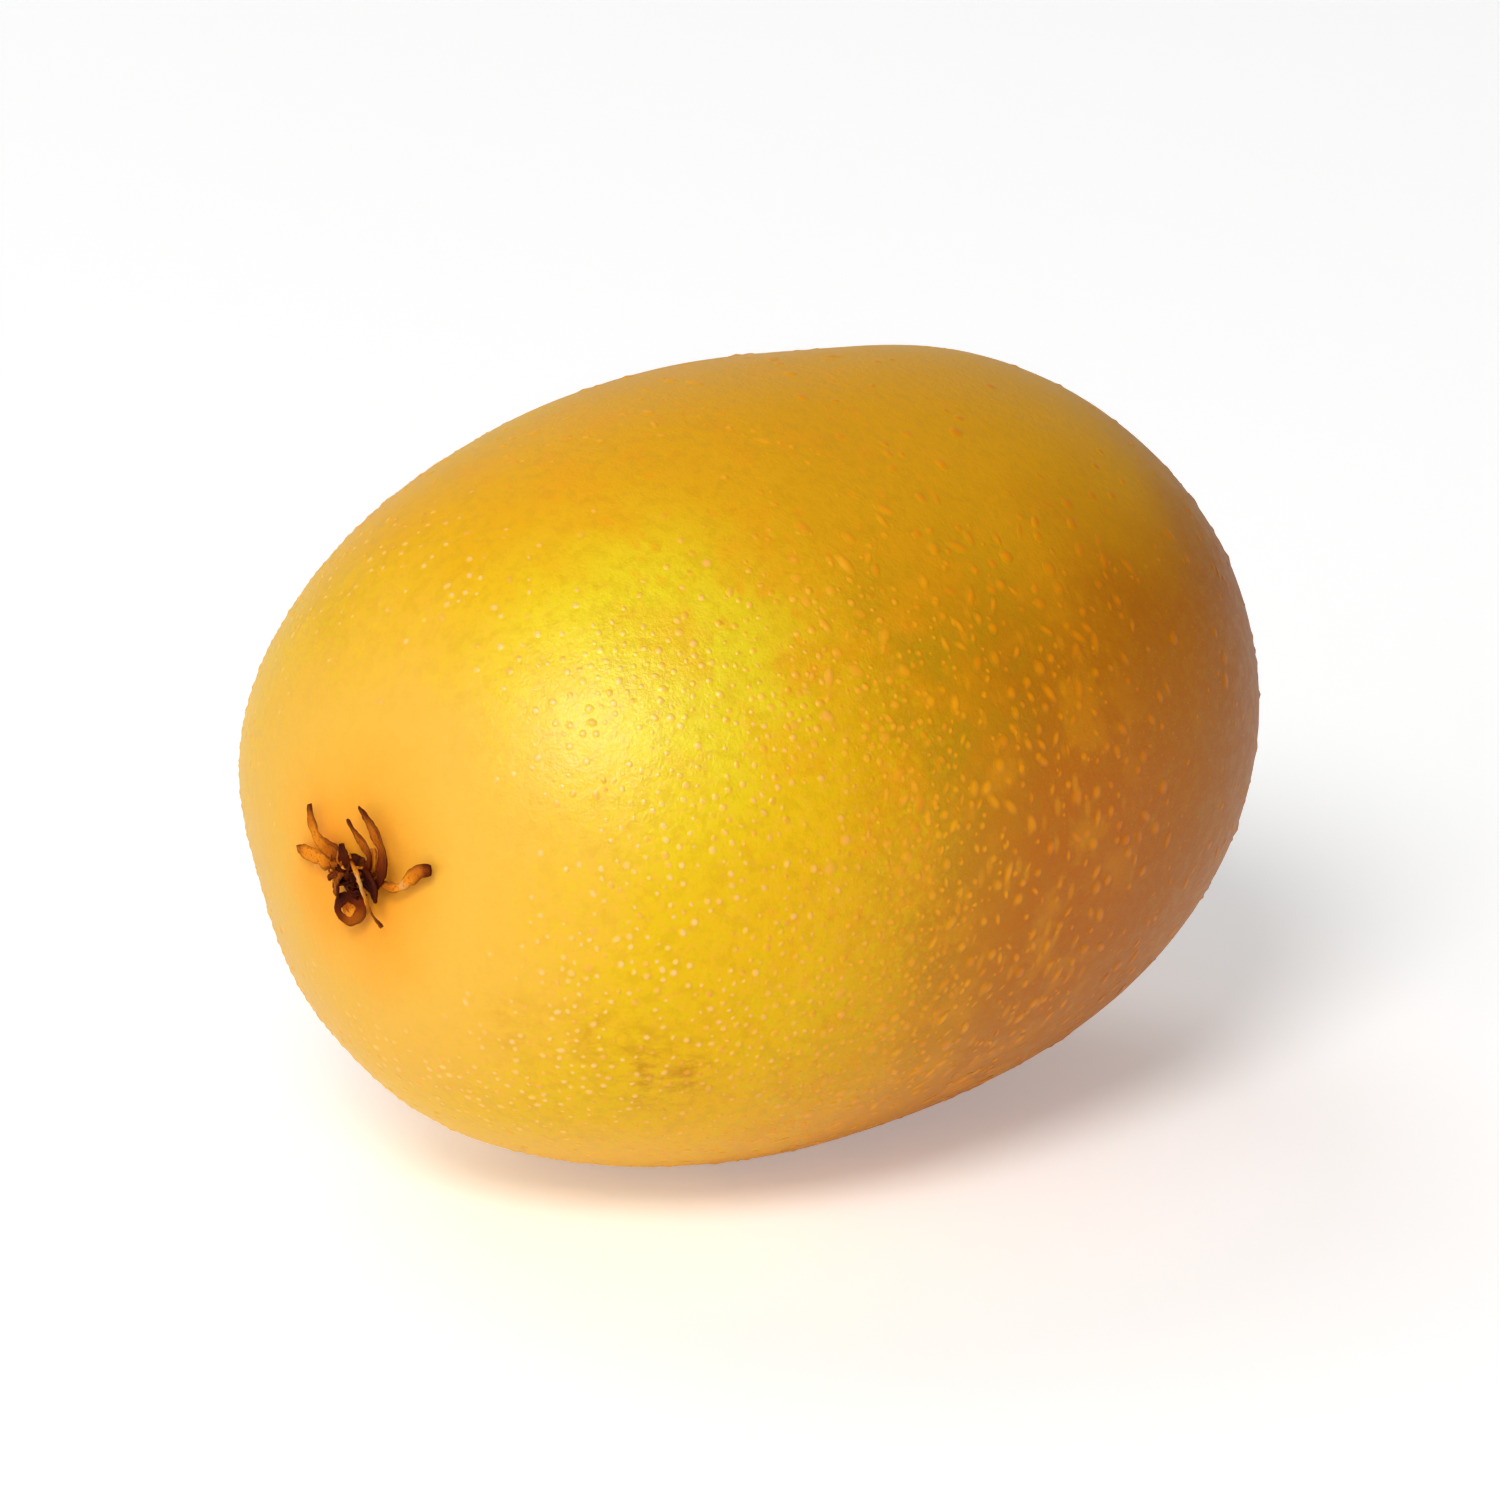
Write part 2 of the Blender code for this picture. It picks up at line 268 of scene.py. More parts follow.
# Soft spots, each as its place, its reach and its strength
# The first lemon spot lies round the highlight and is partly painted highlight
lemonAndHighlightSpots = (
    ((-23.5, -14, 13), 16, 1.0), ((-10, 14, 20), 9, 0.3),
    ((-20, 17, -8), 11, 0.6), ((-17, -21, -8), 8, 0.15),
)
# Olive patches, partly green undertone and partly painted shade
oliveAndShadeSpots = (
    ((-5, -22, 12), 11, 0.6), ((-8, -24, 2), 10, 0.4),
    ((-4, 22, 10), 11, 0.5), ((-30, 9, 12), 8, 0.25),
)
# Deeper russet spots; the one at the front lower right is painted shadow
russetAndShadowSpots = (((2, -25, -3), 16, 0.62), ((12, 18, -12), 13, 0.45))
scuffSpots = (
    ((-24.2, -16.3, -11.9), 5.0, 0.75), ((-28.0, -15.1, -8.5), 4.4, 0.45),
    ((-31, -10.5, -8), 4.0, 0.3),
)


def shaderGroup(name, inputs, outputs):
    tree = bpy.data.node_groups.new(name, "ShaderNodeTree")
    for label, kind in inputs.items():
        tree.interface.new_socket(label, in_out="INPUT", socket_type="NodeSocket" + kind)
    for label, kind in outputs.items():
        tree.interface.new_socket(label, in_out="OUTPUT", socket_type="NodeSocket" + kind)
    return tree, tree.nodes.new("NodeGroupInput").outputs


# Adds up soft round spots
def spotMask(tree, place, spots):
    total = 0.0
    for spot, reach, strength in spots:
        away = vectors(tree, "DISTANCE", place, spot)
        total = maths(tree, "ADD", total, fade(tree, away, reach, reach * 0.2, 0.0, strength))
    return total


# Soft round specks on a share of the cells of a Voronoi pattern
def specks(tree, place, size, share):
    cells = addNode(tree, "ShaderNodeTexVoronoi", {"Vector": place, "Scale": 1 / size}).outputs
    kept = maths(tree, "LESS_THAN", split(tree, cells["Color"])["X"], share)
    return maths(tree, "MULTIPLY", kept, fade(tree, cells["Distance"], 0.36, 0.12))


# The colour of the skin, which the lenticels share at their feet
def makeSkinTone():
    tree, given = shaderGroup("skinTone", {"Place": "Vector"}, {"Colour": "Color", "Mottle": "Float"})
    place = given["Place"]
    spot = split(tree, place)
    wander = maths(tree, "SUBTRACT", grain(tree, place, 0.10, 3.0), 0.5)
    cloud = grain(tree, place, 0.26, 4.0, 0.55)
    mottle = grain(tree, place, 1.1, 3.0, 0.6)
    fleck = grain(tree, place, 3.6, 2.0, 0.6)

    # Golden at the blossom end, bronze towards the stem, partly painted shade there, honey along the top
    colour = ramp(tree, maths(tree, "MULTIPLY_ADD", wander, 8.0, spot["X"]), skinLook["stops"])
    high = maths(tree, "MULTIPLY_ADD", wander, 9.0, spot["Z"])
    colour = mixColour(tree, fade(tree, high, 10.0, 21.0, 0.0, 0.88), colour, skinLook["honey"])
    # A lighter lemon patch, partly the skin's own colour and partly painted highlight
    lemonAndHighlight = spotMask(tree, place, lemonAndHighlightSpots)
    lemonAndHighlight = maths(tree, "MULTIPLY", fade(tree, cloud, 0.34, 0.58, 0.6, 1.0), lemonAndHighlight)
    colour = mixColour(tree, lemonAndHighlight, colour, skinLook["lemonAndHighlight"])

    # Clouds of olive, russet and amber on the belt. The olive is partly painted shade, and the russet at
    # the front lower right is painted shadow
    belt = fade(tree, maths(tree, "ABSOLUTE", maths(tree, "ADD", spot["X"], 7.0)), 20.0, 8.0)
    # Olive patches, partly painted shade
    oliveAndShadeMask = spotMask(tree, place, oliveAndShadeSpots)
    oliveAndShadeMask = maths(tree, "MULTIPLY", fade(tree, cloud, 0.42, 0.62), oliveAndShadeMask)
    colour = mixColour(tree, oliveAndShadeMask, colour, skinLook["oliveAndShade"])
    # Painted shadow at the front lower right, as russet
    russetAndShadowMask = spotMask(tree, place, russetAndShadowSpots)
    russetAndShadowMask = maths(tree, "MULTIPLY", fade(tree, cloud, 0.30, 0.55, 0.75, 1.0), russetAndShadowMask)
    colour = mixColour(tree, russetAndShadowMask, colour, skinLook["russetAndShadow"])
    warm = maths(tree, "MULTIPLY", fade(tree, cloud, 0.50, 0.34, 0.0, 0.38), belt)
    colour = mixColour(tree, warm, colour, skinLook["amber"])

    # Flesh pink round the tuft, orange close to it
    away = vectors(tree, "DISTANCE", place, tuftSpot)
    away = maths(tree, "ADD", away, maths(tree, "MULTIPLY", wander, 9.0))
    colour = mixColour(tree, fade(tree, away, 21.0, 9.0, 0.0, 0.85), colour, skinLook["peach"])
    colour = mixColour(tree, fade(tree, away, 9.5, 2.5, 0.0, 0.85), colour, skinLook["tangerine"])

    # Faint specks between the lenticels, drawn out round the fruit on the belt
    squeezed = vectors(tree, "MULTIPLY", place, (1.7, 1.0, 0.8))
    blurred = maths(tree, "MULTIPLY", belt, 0.55)
    blurred = maths(tree, "MULTIPLY", specks(tree, squeezed, 1.9, 0.6), blurred)
    colour = mixColour(tree, blurred, colour, skinLook["amber"])

    # Lime and pink speckle on the blossom half, not near the tuft and little on top
    golden = fade(tree, away, 9.0, 17.0)
    golden = maths(tree, "MULTIPLY", fade(tree, spot["X"], -4.0, -14.0), golden)
    golden = maths(tree, "MULTIPLY", golden, fade(tree, high, 20.0, 11.0, 0.2, 1.0))
    speckle = grain(tree, place, 1.5, 2.0, 0.7)
    limy = maths(tree, "MULTIPLY", fade(tree, speckle, 0.50, 0.36, 0.0, 0.40), golden)
    colour = mixColour(tree, limy, colour, skinLook["lime"])
    pinkish = maths(tree, "MULTIPLY", specks(tree, place, 0.85, 0.6), 0.28)
    pinkish = maths(tree, "MAXIMUM", pinkish, fade(tree, speckle, 0.56, 0.68, 0.0, 0.28))
    colour = mixColour(tree, maths(tree, "MULTIPLY", pinkish, golden), colour, skinLook["pink"])

    # Mottling, fine flecks and a few scuffs
    busy = fade(tree, away, 9.0, 20.0, 0.25, 1.0)
    darker = maths(tree, "MULTIPLY", fade(tree, mottle, 0.54, 0.36, 0.0, 0.20), busy)
    colour = mixColour(tree, darker, colour, skinLook["shade"])
    sandy = maths(tree, "MULTIPLY", fade(tree, fleck, 0.60, 0.74, 0.0, 0.35), busy)
    colour = mixColour(tree, sandy, colour, skinLook["sand"])
    rubbed = grain(tree, vectors(tree, "MULTIPLY", place, (1.0, 1.0, 1.8)), 0.55, 5.0, 0.65)
    rub = maths(tree, "MULTIPLY", spotMask(tree, place, scuffSpots), fade(tree, rubbed, 0.40, 0.66))
    colour = mixColour(tree, rub, colour, skinLook["scuff"])
    addNode(tree, "NodeGroupOutput", {"Colour": colour, "Mottle": mottle})
    return tree


# Fine surface grain for every finish: pores and fibres as one height
def makeFineGrain():
    tree, given = shaderGroup(
        "fineGrain",
        {"Place": "Vector", "Size": "Float", "Stretch": "Vector", "Depth": "Float"},
        {"Height": "Float", "Wear": "Float"},
    )
    finer = maths(tree, "DIVIDE", 1.0, given["Size"])
    drawn = vectors(tree, "MULTIPLY", given["Place"], given["Stretch"])
    coarse = grain(tree, drawn, finer, 3.0, 0.55)
    fine = grain(tree, drawn, maths(tree, "MULTIPLY", finer, 3.1), 2.0, 0.6)
    fine = maths(tree, "MULTIPLY", fine, 0.3)
    height = maths(tree, "ADD", maths(tree, "MULTIPLY", coarse, 0.7), fine)
    height = maths(tree, "MULTIPLY", height, given["Depth"])
    addNode(tree, "NodeGroupOutput", {"Height": height, "Wear": coarse})
    return tree


skinTone = makeSkinTone()
fineGrain = makeFineGrain()


# A material's start: its tree, its shader, and the place in millimetres from the middle
def startMaterial(name):
    material = bpy.data.materials.new(name)
    material.use_nodes = True
    tree = material.node_tree
    shader = tree.nodes["Principled BSDF"]
    coordinates = addNode(tree, "ShaderNodeTexCoord")
    mapping = addNode(tree, "ShaderNodeMapping", {"Vector": coordinates.outputs["Object"]})
    mapping.inputs["Location"].default_value = middle * (-1 / mm)
    mapping.inputs["Scale"].default_value = (1 / mm,) * 3
    return material, tree, shader, mapping.outputs["Vector"]


def useGroup(tree, group, inputs):
    made = addNode(tree, "ShaderNodeGroup", node_tree=group)
    for name, value in inputs.items():
        plug(tree, made.inputs[name], value)
    return made.outputs


def useGrain(tree, place, size):
    return useGroup(tree, fineGrain, {"Place": place, "Size": size, "Stretch": (1, 1, 1), "Depth": 1.0})


def attribute(tree, name):
    return addNode(tree, "ShaderNodeAttribute", attribute_name=name).outputs["Fac"]


def bump(tree, shader, height, distance):
    made = addNode(tree, "ShaderNodeBump", {"Strength": 1.0, "Distance": distance, "Height": height})
    plug(tree, shader.inputs["Normal"], made.outputs["Normal"])


# A painted pale sheen where the skin turns away from the eye, less on the lower side and the stem end,
# away from the light
def paintedRimSheen(tree, place, colour):
    facing = addNode(tree, "ShaderNodeLayerWeight", {"Blend": 0.5}).outputs["Facing"]
    spot = split(tree, place)
    litSideShare = fade(tree, maths(tree, "SUBTRACT", spot["X"], spot["Z"]), 14.0, -6.0, 0.1, 1.0)
    amount = maths(tree, "MULTIPLY", fade(tree, facing, 0.50, 0.95, 0.0, skinLook["paintedSheenShare"]), litSideShare)
    return mixColour(tree, amount, colour, skinLook["paintedSheen"])


def skinGloss(shader):
    shader.inputs["Specular IOR Level"].default_value = 0.16
    shader.inputs["Specular Tint"].default_value = (1.0, 0.96, 0.80, 1)


def makeSkinFinish():
    material, tree, shader, place = startMaterial("goldenSkin")
    tone = useGroup(tree, skinTone, {"Place": place})
    pores = useGrain(tree, place, 0.60)
    # Base colour with the painted rim sheen
    plug(tree, shader.inputs["Base Color"], paintedRimSheen(tree, place, tone["Colour"]))
    plug(tree, shader.inputs["Roughness"], fade(tree, tone["Mottle"], 0.3, 0.7, 0.38, 0.46))
    skinGloss(shader)
    bump(tree, shader, pores["Height"], 0.09 * mm)
    return material


# Lenticel colours, with stops along X like the skin's. The pale stops on the blossom half are partly
# painted highlight
lenticelLook = {
    "stops": (
        (-36, (0.96, 0.50, 0.12)), (-27, (0.97, 0.57, 0.17)), (-22, (0.96, 0.49, 0.10)),
        (-17, (0.95, 0.43, 0.05)), (-13, (0.94, 0.40, 0.02)), (-7, (0.94, 0.38, 0.004)),
        (0, (0.88, 0.30, 0.0)), (12, (0.74, 0.22, 0.0)), (36, (0.60, 0.16, 0.0)),
    ),
    "red": (0.86, 0.20, 0.003),
    "creamAndHighlight": (0.97, 0.62, 0.24),
    # foot: painted shade round the foot of each dot
    "foot": (0.84, 0.28, 0.003),
}


def makeLenticelFinish():
    material, tree, shader, place = startMaterial("lenticelCork")
    tone = useGroup(tree, skinTone, {"Place": place})
    rise = attribute(tree, "rise")
    tint = attribute(tree, "tint")
    along = split(tree, place)["X"]
    cork = ramp(tree, along, lenticelLook["stops"])
    cork = mixColour(tree, fade(tree, tint, 0.35, 0.05, 0.0, 0.45), cork, lenticelLook["red"])
    # Cream dots on the blossom half, partly their own pale colour and partly painted highlight
    blossomward = fade(tree, along, -12.0, -20.0)
    paintedHighlightCream = maths(tree, "MULTIPLY", fade(tree, tint, 0.60, 1.0, 0.0, 0.3), blossomward)
    cork = mixColour(tree, paintedHighlightCream, cork, lenticelLook["creamAndHighlight"])
    # Painted shade: an orange ring round each dot's foot, fading out towards the blossom end
    paintedFootShade = fade(tree, blossomward, 0.0, 1.0, 0.4, 0.0)
    paintedFootShade = maths(tree, "MULTIPLY", fade(tree, rise, 0.55, 0.05), paintedFootShade)
    cork = mixColour(tree, paintedFootShade, cork, lenticelLook["foot"])
    amount = fade(tree, tint, 0.0, 1.0, 0.70, 1.0)
    amount = maths(tree, "MULTIPLY", fade(tree, rise, 0.0, 0.85), amount)
    colour = mixColour(tree, amount, tone["Colour"], cork)
    # The painted rim sheen goes over the lenticels too
    plug(tree, shader.inputs["Base Color"], paintedRimSheen(tree, place, colour))
    plug(tree, shader.inputs["Roughness"], fade(tree, rise, 0.0, 0.8, 0.42, 0.34))
    skinGloss(shader)
    pores = useGrain(tree, place, 0.2)
    bump(tree, shader, pores["Height"], 0.02 * mm)
    return material


# Dried styles, by tone: near black in the knot, orange brown in the open, pale at 1
styleLook = {
    "stops": (
        (0.0, (0.020, 0.002, 0.001)), (0.3, (0.140, 0.018, 0.001)), (0.6, (0.46, 0.105, 0.003)),
        (0.85, (0.80, 0.245, 0.010)), (1.0, (0.70, 0.36, 0.10)),
    ),
    "rolled": (0.085, 0.009, 0.0005),
    "fibre": (0.78, 0.24, 0.02),
}


def makeStyleFinish():
    material, tree, shader, place = startMaterial("driedStyle")
    tone = attribute(tree, "tone")
    edge = attribute(tree, "edge")
    along = attribute(tree, "along")
    fibres = useGrain(tree, place, 0.16)
    colour = ramp(tree, tone, styleLook["stops"])
    rolled = fade(tree, tone, 0.55, 0.95, 0.8, 0.3)
    rolled = maths(tree, "MULTIPLY", fade(tree, edge, 0.45, 0.95), rolled)
    colour = mixColour(tree, rolled, colour, styleLook["rolled"])
    across, along = maths(tree, "MULTIPLY", edge, 5.0), maths(tree, "MULTIPLY", along, 3.0)
    alongStyle = join(tree, across, along, tone)
    streak = fade(tree, grain(tree, alongStyle, 1.4, 3.0, 0.6), 0.44, 0.66, 0.0, 0.45)
    streak = maths(tree, "MULTIPLY", streak, fade(tree, tone, 0.05, 0.50))
    colour = mixColour(tree, streak, colour, mixColour(tree, 0.55, colour, styleLook["fibre"]))
    blot = fade(tree, fibres["Wear"], 0.46, 0.34, 0.0, 0.45)
    colour = mixColour(tree, blot, colour, styleLook["rolled"])
    plug(tree, shader.inputs["Base Color"], colour)
    plug(tree, shader.inputs["Roughness"], fade(tree, fibres["Wear"], 0.3, 0.7, 0.55, 0.85))
    shader.inputs["Specular IOR Level"].default_value = 0.03
    bump(tree, shader, fibres["Height"], 0.06 * mm)
    return material


corkLook = {"dark": (0.15, 0.060, 0.020), "light": (0.31, 0.150, 0.056), "pit": (0.045, 0.018, 0.008)}


def makeCorkFinish():
    material, tree, shader, place = startMaterial("stemCork")
    pit = attribute(tree, "pit")
    cork = useGrain(tree, place, 0.35)
    worn = fade(tree, cork["Wear"], 0.35, 0.65)
    colour = mixColour(tree, worn, corkLook["dark"], corkLook["light"])
    colour = mixColour(tree, fade(tree, pit, 0.2, 0.9, 0.0, 0.85), colour, corkLook["pit"])
    plug(tree, shader.inputs["Base Color"], colour)
    plug(tree, shader.inputs["Roughness"], fade(tree, cork["Wear"], 0.3, 0.7, 0.75, 0.95))
    shader.inputs["Specular IOR Level"].default_value = 0.25
    bump(tree, shader, cork["Height"], 0.10 * mm)
    return material


goldenSkin = makeSkinFinish()
lenticelCork = makeLenticelFinish()
driedStyle = makeStyleFinish()
stemCork = makeCorkFinish()
print("finishes made")


# Skin and flesh: an oval body turned by a rule, one closed mesh

# The share by which swellings and hollows move a point away from the middle
def addSwells(tree, point, length, halfWidth):
    scales = join(tree, length, halfWidth, halfWidth)
    seen = vectors(tree, "NORMALIZE", vectors(tree, "DIVIDE", point, scales))
    total = 1.0
    for bearing, height, amount, spread in swells:
        bearing, height = math.radians(bearing), math.radians(height)
        towards = (
            math.cos(height) * math.cos(bearing),
            math.cos(height) * math.sin(bearing),
            math.sin(height),
        )
        away = maths(tree, "DIVIDE", vectors(tree, "DISTANCE", seen, towards), spread)
        bell = maths(tree, "EXPONENT", maths(tree, "MULTIPLY", maths(tree, "MULTIPLY", away, away), -1.0))
        total = maths(tree, "ADD", total, maths(tree, "MULTIPLY", bell, amount))
    return vectors(tree, "SCALE", point, total)


def choose(tree, test, no, yes):
    values = {"Switch": test, "False": no, "True": yes}
    return addNode(tree, "GeometryNodeSwitch", values, input_type="FLOAT").outputs[0]


def makeSkinTree(values):
    tree, given = geometryTree("kiwiSkin", values)

    m = partial(maths, tree)
    # A cube's faces, warped so that their panels come out even once they are blown up into a ball
    cube = addNode(tree, "GeometryNodeMeshCube", {
        "Size": (2, 2, 2), "Vertices X": given["panels"],
        "Vertices Y": given["panels"], "Vertices Z": given["panels"],
    })
    corner = addNode(tree, "GeometryNodeInputPosition").outputs[0]
    warped = vectors(tree, "TANGENT", vectors(tree, "SCALE", corner, math.pi / 4))
    ball = split(tree, vectors(tree, "NORMALIZE", warped))

    # Radius and place along X at u, which runs from -1 at the blossom end to 1 at the stem end
    u = ball["X"]
    turn = m("ARCTAN2", ball["Z"], ball["Y"])
    blossom = m("LESS_THAN", u, 0.0)
    fall = choose(tree, blossom, given["stemFall"], given["blossomFall"])
    roundness = choose(tree, blossom, given["stemRoundness"], given["blossomRoundness"])
    length = choose(tree, blossom, given["stemLength"], given["blossomLength"])
    left = m("MAXIMUM", m("SUBTRACT", 1.0, m("POWER", m("ABSOLUTE", u), fall)), 0.0)
    radius = m("MULTIPLY", given["halfWidth"], m("POWER", left, m("DIVIDE", 1.0, roundness)))

    # The section is a little flat, a little three-sided, and leans towards the stem end
    tall = m("DIVIDE", m("SINE", turn), given["heightToWidth"])
    wide = m("COSINE", turn)
    squares = m("ADD", m("MULTIPLY", wide, wide), m("MULTIPLY", tall, tall))
    radius = m("DIVIDE", radius, m("SQRT", squares))
    lobes = m("COSINE", m("SUBTRACT", m("MULTIPLY", turn, 3.0), given["threeSidedTurn"]))
    ends = m("SUBTRACT", 1.0, m("MULTIPLY", u, u))
    lobes = m("MULTIPLY", m("MULTIPLY", lobes, given["threeSided"]), ends)
    radius = m("MULTIPLY", radius, m("ADD", 1.0, lobes))
    leanAlong = m("MULTIPLY", given["lean"], u)
    leaning = m("MULTIPLY", m("COSINE", m("SUBTRACT", turn, given["leanTurn"])), leanAlong)
    radius = m("MULTIPLY", radius, m("ADD", 1.0, leaning))

    # A shallow dip round the stem scar
    nearScar = m("DIVIDE", radius, given["stemDipRadius"])
    dip = m("EXPONENT", m("MULTIPLY", m("MULTIPLY", nearScar, nearScar), -1.0))
    dip = m("MULTIPLY", m("MULTIPLY", dip, given["stemDipDepth"]), m("SUBTRACT", 1.0, blossom))
    along = m("SUBTRACT", m("MULTIPLY", u, length), dip)
    sideways, upward = m("MULTIPLY", radius, m("COSINE", turn)), m("MULTIPLY", radius, m("SINE", turn))
    point = join(tree, along, sideways, upward)
    halfLength = m("MULTIPLY", m("ADD", given["blossomLength"], given["stemLength"]), 0.5)
    point = addSwells(tree, point, halfLength, given["halfWidth"])
    point = vectors(tree, "ADD", point, given["middle"])
    oval = addNode(tree, "GeometryNodeSetPosition", {"Geometry": cube.outputs["Mesh"], "Position": point})

    # Soft undulation and pebbling of the skin, then the flat spot that it rests on
    place = addNode(tree, "GeometryNodeInputPosition").outputs[0]
    normal = addNode(tree, "GeometryNodeInputNormal").outputs[0]
    waves = m("SUBTRACT", grain(tree, place, m("DIVIDE", 1.0, given["undulationSize"]), 1.0), 0.5)
    pebbles = m("SUBTRACT", grain(tree, place, m("DIVIDE", 1.0, given["pebbleSize"]), 2.0), 0.5)
    push = m("ADD", m("MULTIPLY", waves, given["undulation"]), m("MULTIPLY", pebbles, given["pebbling"]))
    push = m("MULTIPLY", push, 2.0)
    soft = addNode(tree, "GeometryNodeSetPosition", {
        "Geometry": oval.outputs[0], "Offset": vectors(tree, "SCALE", normal, push),
    })
    pressed = vectors(tree, "MAXIMUM", place, (-1, -1, 0))
    resting = addNode(tree, "GeometryNodeSetPosition", {"Geometry": soft.outputs[0], "Position": pressed})
    smooth = addNode(tree, "GeometryNodeSetShadeSmooth", {"Geometry": resting.outputs[0]})
    finishTree(tree, smooth.outputs[0], given["finish"])
    return tree


skinValues = {**fruitShape, "middle": middle, "finish": goldenSkin}
kiwiSkin = grow("kiwi_skin", makeSkinTree(skinValues), skinValues)
keepAsPiece(kiwiSkin, "fruit_body")


# Lenticels: low corky dots, small ones on the blossom half and larger ones on the belt.
# The fades run along X, in metres from the middle
smallLenticels = {
    "density": 2.6 / mm ** 2, "spacing": 0.60 * mm,
    "smallest": 0.16 * mm, "largest": 0.32 * mm, "steepness": 0.28,
    "longest": 1.8, "drawnOut": 0.4, "sunk": 0.010 * mm, "wobble": 0.07 * mm,
    "inFrom": -36.0 * mm, "inTo": -30.0 * mm, "before": 0.4,
    "outFrom": -12.0 * mm, "outTo": 0.0 * mm, "beyond": 0.08,
    "seed": 7,
}
largeLenticels = {
    "density": 1.25 / mm ** 2, "spacing": 0.92 * mm,
    "smallest": 0.26 * mm, "largest": 0.60 * mm, "steepness": 0.20,
    "longest": 1.9, "drawnOut": 1.0, "sunk": 0.012 * mm, "wobble": 0.13 * mm,
    "inFrom": -21.0 * mm, "inTo": -8.0 * mm, "before": 0.0,
    "outFrom": 1.0 * mm, "outTo": 17.0 * mm, "beyond": 0.16,
    "seed": 31,
}
# Where both sorts thin out: near the tuft, over the top, and low down towards the resting spot.
# The scales are of the noise that clumps them and of the noise that makes them uneven
sharedByBoth = {
    "bareWithin": 10.0 * mm, "fullFrom": 19.0 * mm,
    "topFrom": 38.0 * mm, "topThin": 46.0 * mm,
    "restTo": 3.0 * mm, "lowTo": 13.0 * mm,
    "clumpScale": 220.0, "wobbleScale": 2600.0,
    "middle": middle, "bareMiddle": blossomEnd + Vector((0, 0, 4 * mm)), "finish": lenticelCork,
}
domeShape = {"sides": 8, "rings": 3, "skirt": 0.25}


# One low dome of radius 1 and height 1, with a short skirt that stays inside the skin
def makeDome(tree):
    m = partial(maths, tree)
    cone = addNode(tree, "GeometryNodeMeshCone", {
        "Vertices": domeShape["sides"], "Side Segments": domeShape["rings"],
        "Radius Top": 0.0, "Radius Bottom": 1.0, "Depth": 1.0,
    }, fill_type="NGON")
    corner = split(tree, addNode(tree, "GeometryNodeInputPosition").outputs[0])
    out = m("DIVIDE", m("SUBTRACT", 1.0, corner["Z"]), 1 - 1 / domeShape["rings"])
    inSkirt = m("GREATER_THAN", out, 1.01)
    out = m("MINIMUM", out, 1.0)
    bell = m("SUBTRACT", 1.0, m("MULTIPLY", out, out))
    bell = m("MULTIPLY", bell, bell)
    height = m("SUBTRACT", bell, m("MULTIPLY", inSkirt, domeShape["skirt"]))
    sideways = vectors(tree, "NORMALIZE", join(tree, corner["X"], corner["Y"], 0.0))
    sideways = split(tree, vectors(tree, "SCALE", sideways, out))
    marked = addNode(tree, "GeometryNodeStoreNamedAttribute", {
        "Geometry": cone.outputs["Mesh"], "Name": "rise", "Value": bell,
    })
    domed = addNode(tree, "GeometryNodeSetPosition", {
        "Geometry": marked.outputs[0], "Position": join(tree, sideways["X"], sideways["Y"], height),
    })
    smooth = addNode(tree, "GeometryNodeSetShadeSmooth", {"Geometry": domed.outputs[0]})
    edgeHeight = split(tree, addNode(tree, "GeometryNodeInputPosition").outputs[0])["Z"]
    onRim = m("COMPARE", edgeHeight, 0.0, 0.001)
    return addNode(tree, "GeometryNodeSetShadeSmooth", {
        "Geometry": smooth.outputs[0], "Selection": onRim, "Shade Smooth": False,
    }, domain="EDGE").outputs[0]


def drawn(tree, seed, offset, low=0.0, high=1.0):
    made = addNode(tree, "FunctionNodeRandomValue", data_type="FLOAT")
    sockets = {socket.identifier: socket for socket in made.inputs}
    plug(tree, sockets["Min_001"], low)
    plug(tree, sockets["Max_001"], high)
    plug(tree, sockets["Seed"], maths(tree, "ADD", seed, offset))
    return next(socket for socket in made.outputs if socket.identifier == "Value_001")


